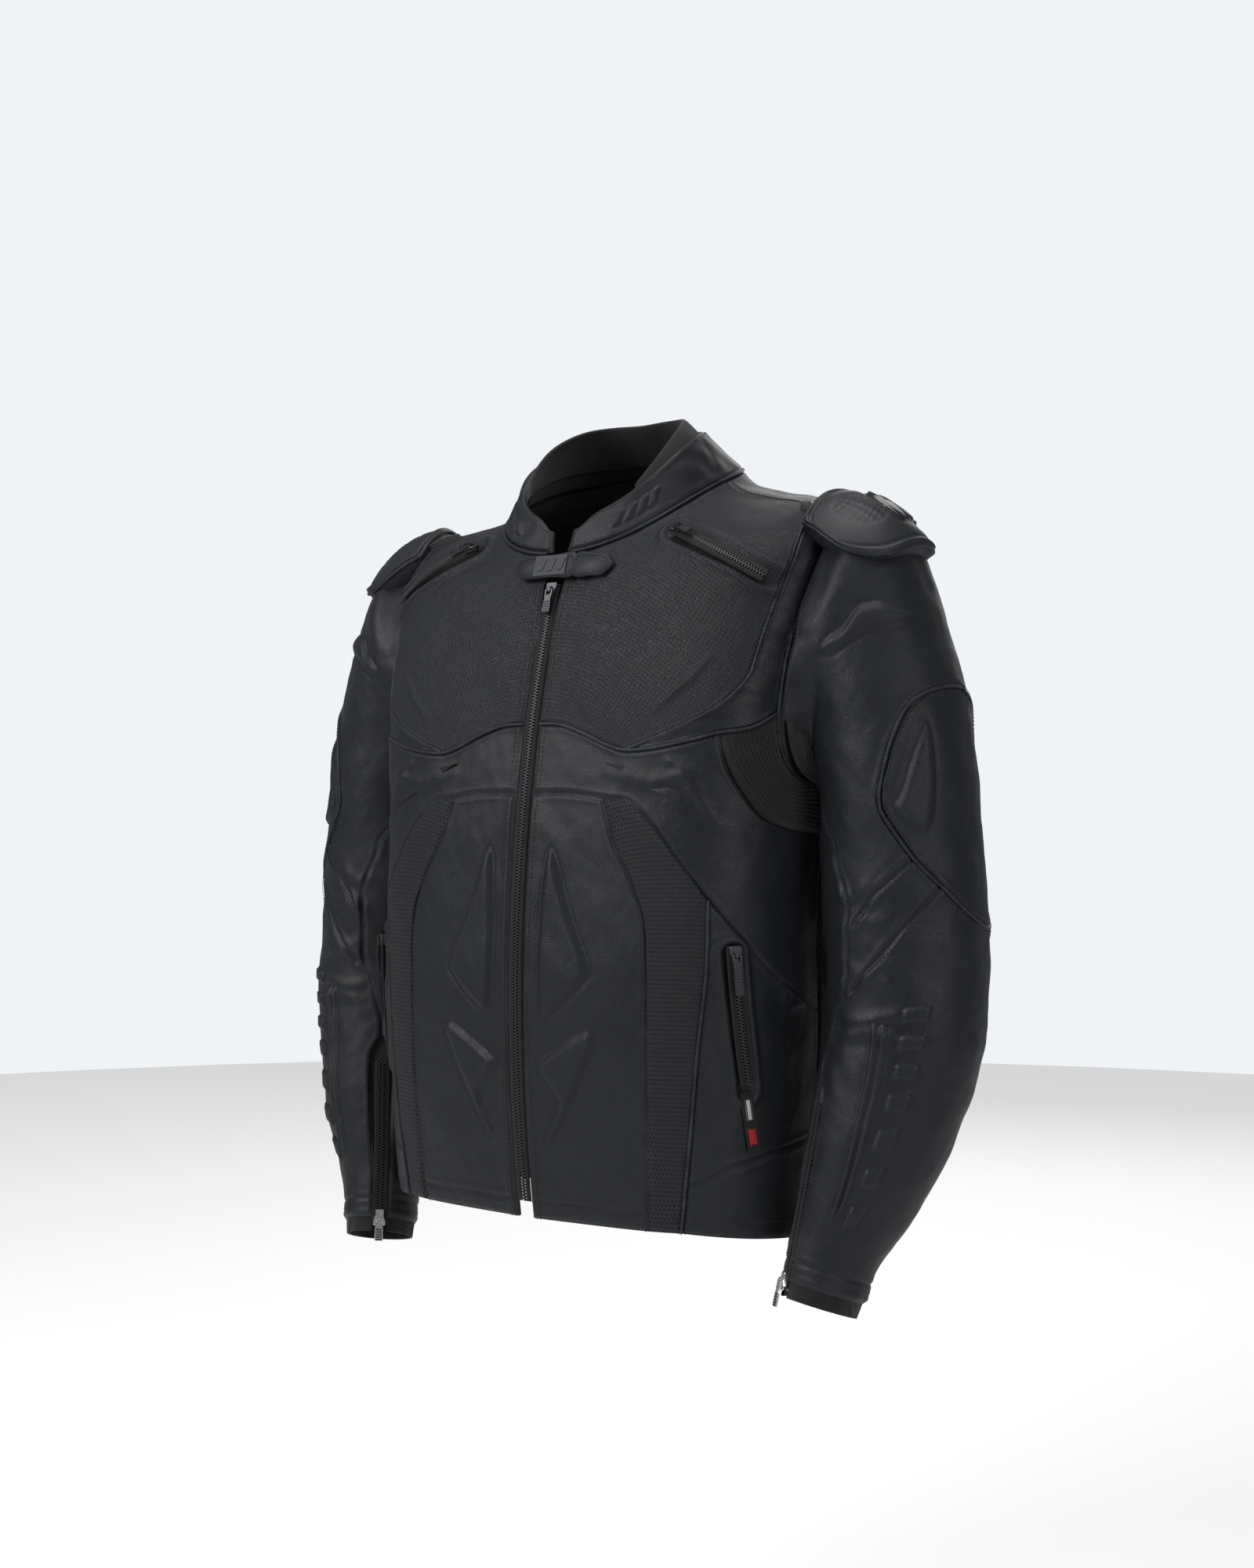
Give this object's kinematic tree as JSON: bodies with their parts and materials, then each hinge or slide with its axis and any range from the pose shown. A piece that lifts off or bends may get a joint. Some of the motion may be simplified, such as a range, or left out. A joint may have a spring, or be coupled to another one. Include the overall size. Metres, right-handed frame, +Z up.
{
  "type": "motorcycle riding jacket",
  "caption": "Hollow leather riding jacket in its worn shape, with stand-up collar, zips, stretch panels, hard shoulder cups and elbow armour.",
  "frame": {"origin": "centre of the waist opening at the height of the front hem", "axes": "+Z up, the front faces -Y, +X to the wearer's left"},
  "size_m": [0.632, 0.2522, 0.6924],
  "materials": {
    "perforated_leather": "satin",
    "leather": "satin",
    "ribbed_stretch": "matte",
    "neoprene": "matte",
    "mesh_lining": "matte",
    "cup_plastic": "satin",
    "armour_foam": "matte",
    "zip_tape": "matte",
    "zip_metal": "dark",
    "bright_metal": "polished",
    "moulded_rubber": "matte",
    "label_cloth": "matte",
    "loop_cord": "matte"
  },
  "bodies": {
    "shell": {"armhole_strips": "leather", "back_hem_panel": "leather", "back_panel": "leather", "back_side_panel_left": "leather", "back_side_panel_right": "leather", "back_yoke": "leather", "body_lining": "mesh_lining", "chest_band_left": "leather", "chest_band_right": "leather", "chest_panel_left": "perforated_leather", "chest_panel_right": "perforated_leather", "collar_band": "leather", "collar_roll": "neoprene", "elbow_gather_left": "leather", "elbow_gather_right": "leather", "hanger_loop": "loop_cord", "latch_anchor": "leather", "latch_stud": "zip_metal", "lower_front_panel_left": "leather", "lower_front_panel_right": "leather", "lumbar_stretch_panel": "ribbed_stretch", "main_zip_chain": "zip_tape", "perforated_strip_left": "perforated_leather", "perforated_strip_right": "perforated_leather", "pocket_label": "label_cloth", "pocket_zip_chains": "zip_tape", "shoulder_armour": "armour_foam", "shoulder_cup_left": "cup_plastic", "shoulder_cup_right": "cup_plastic", "side_panel_left": "leather", "side_panel_right": "leather", "side_stretch_panels": "ribbed_stretch", "underarm_gussets": "ribbed_stretch", "upper_sleeve_outer_left": "leather", "upper_sleeve_outer_right": "leather", "upper_sleeve_unders": "leather"},
    "forearm_left": {"forearm_outer_left": "leather", "forearm_under_left": "leather", "elbow_armour_left": "armour_foam", "cuff_zip_chain_left": "zip_tape"},
    "chest_slider_left": {"chest_zip_slider_left": "zip_metal"},
    "chest_pull_left": {"chest_zip_pull_left": "zip_metal"},
    "pocket_slider_left": {"pocket_zip_slider_left": "zip_metal"},
    "pocket_pull_left": {"pocket_zip_pull_left": "zip_metal"},
    "cuff_slider_left": {"cuff_zip_slider_left": "bright_metal"},
    "cuff_pull_left": {"cuff_zip_pull_left": "bright_metal"},
    "forearm_right": {"forearm_outer_right": "leather", "forearm_under_right": "leather", "elbow_armour_right": "armour_foam", "cuff_zip_chain_right": "zip_tape"},
    "chest_slider_right": {"chest_zip_slider_right": "zip_metal"},
    "chest_pull_right": {"chest_zip_pull_right": "zip_metal"},
    "pocket_slider_right": {"pocket_zip_slider_right": "zip_metal"},
    "pocket_pull_right": {"pocket_zip_pull_right": "zip_metal"},
    "cuff_slider_right": {"cuff_zip_slider_right": "bright_metal"},
    "cuff_pull_right": {"cuff_zip_pull_right": "bright_metal"},
    "main_slider": {"main_zip_slider": "zip_metal"},
    "main_pull": {"main_zip_pull": "zip_metal"},
    "latch_flap": {"latch_strap": "leather", "latch_badge": "moulded_rubber"}
  },
  "joints": [
    {"name": "main_zip_run", "type": "hinge", "parent": "shell", "child": "main_slider", "pos_m": [0, 0.9458, 0.17], "axis": [1, 0, 0], "range_deg": [0, 23.52]},
    {"name": "main_pull_swing", "type": "hinge", "parent": "main_slider", "child": "main_pull", "pos_m": [0, -0.08386, 0.48324], "axis": [-1, 0, 0], "range_deg": [0, 115]},
    {"name": "chest_zip_run_left", "type": "hinge", "parent": "shell", "child": "chest_slider_left", "pos_m": [0.12962, 0.0482, 0.48564], "axis": [0.4541, 0.205, 0.867], "range_deg": [0, 41.4]},
    {"name": "chest_pull_swing_left", "type": "hinge", "parent": "chest_slider_left", "child": "chest_pull_left", "pos_m": [0.10101, -0.05808, 0.52856], "axis": [-0.5162, -0.6877, -0.5105], "range_deg": [0, 115]},
    {"name": "chest_zip_run_right", "type": "hinge", "parent": "shell", "child": "chest_slider_right", "pos_m": [-0.12962, 0.0482, 0.48564], "axis": [0.4541, -0.205, -0.867], "range_deg": [0, 41.4]},
    {"name": "chest_pull_swing_right", "type": "hinge", "parent": "chest_slider_right", "child": "chest_pull_right", "pos_m": [-0.10101, -0.05808, 0.52856], "axis": [-0.5162, 0.6877, 0.5105], "range_deg": [0, 115]},
    {"name": "pocket_zip_run_left", "type": "hinge", "parent": "shell", "child": "pocket_slider_left", "pos_m": [0.28991, 0.6754, 0.25627], "axis": [0.987, -0.1573, 0.0317], "range_deg": [0, 6.63]},
    {"name": "pocket_pull_swing_left", "type": "hinge", "parent": "pocket_slider_left", "child": "pocket_pull_left", "pos_m": [0.17366, -0.08798, 0.20698], "axis": [-0.5879, -0.8058, -0.0713], "range_deg": [0, 115]},
    {"name": "pocket_zip_run_right", "type": "hinge", "parent": "shell", "child": "pocket_slider_right", "pos_m": [-0.28991, 0.6754, 0.25627], "axis": [0.987, 0.1573, -0.0317], "range_deg": [0, 6.63]},
    {"name": "pocket_pull_swing_right", "type": "hinge", "parent": "pocket_slider_right", "child": "pocket_pull_right", "pos_m": [-0.17366, -0.08798, 0.20698], "axis": [-0.5879, 0.8058, 0.0713], "range_deg": [0, 115]},
    {"name": "elbow_left", "type": "hinge", "parent": "shell", "child": "forearm_left", "pos_m": [0.254, 0.018, 0.176], "axis": [-1, 0, 0], "range_deg": [-8, 30], "stiffness_Nm_per_rad": 4, "deforming": ["elbow_gather_left"]},
    {"name": "cuff_zip_run_left", "type": "hinge", "parent": "forearm_left", "child": "cuff_slider_left", "pos_m": [0.19871, -2.04968, 0.36583], "axis": [0.9929, -0.0228, -0.1165], "range_deg": [0, 3.43]},
    {"name": "cuff_pull_swing_left", "type": "hinge", "parent": "cuff_slider_left", "child": "cuff_pull_left", "pos_m": [0.19493, -0.06297, -0.03039], "axis": [-0.7523, 0.6576, -0.0396], "range_deg": [0, 115]},
    {"name": "elbow_right", "type": "hinge", "parent": "shell", "child": "forearm_right", "pos_m": [-0.254, 0.018, 0.176], "axis": [-1, 0, 0], "range_deg": [-8, 30], "stiffness_Nm_per_rad": 4, "deforming": ["elbow_gather_right"]},
    {"name": "cuff_zip_run_right", "type": "hinge", "parent": "forearm_right", "child": "cuff_slider_right", "pos_m": [-0.19871, -2.04968, 0.36583], "axis": [0.9929, 0.0228, 0.1165], "range_deg": [0, 3.43]},
    {"name": "cuff_pull_swing_right", "type": "hinge", "parent": "cuff_slider_right", "child": "cuff_pull_right", "pos_m": [-0.19493, -0.06297, -0.03039], "axis": [-0.7523, -0.6576, 0.0396], "range_deg": [0, 115]},
    {"name": "latch_lift", "type": "hinge", "parent": "shell", "child": "latch_flap", "pos_m": [0.022, -0.08162, 0.50185], "axis": [0, 0.3078, 0.9514], "range_deg": [0, 150]}
  ]
}
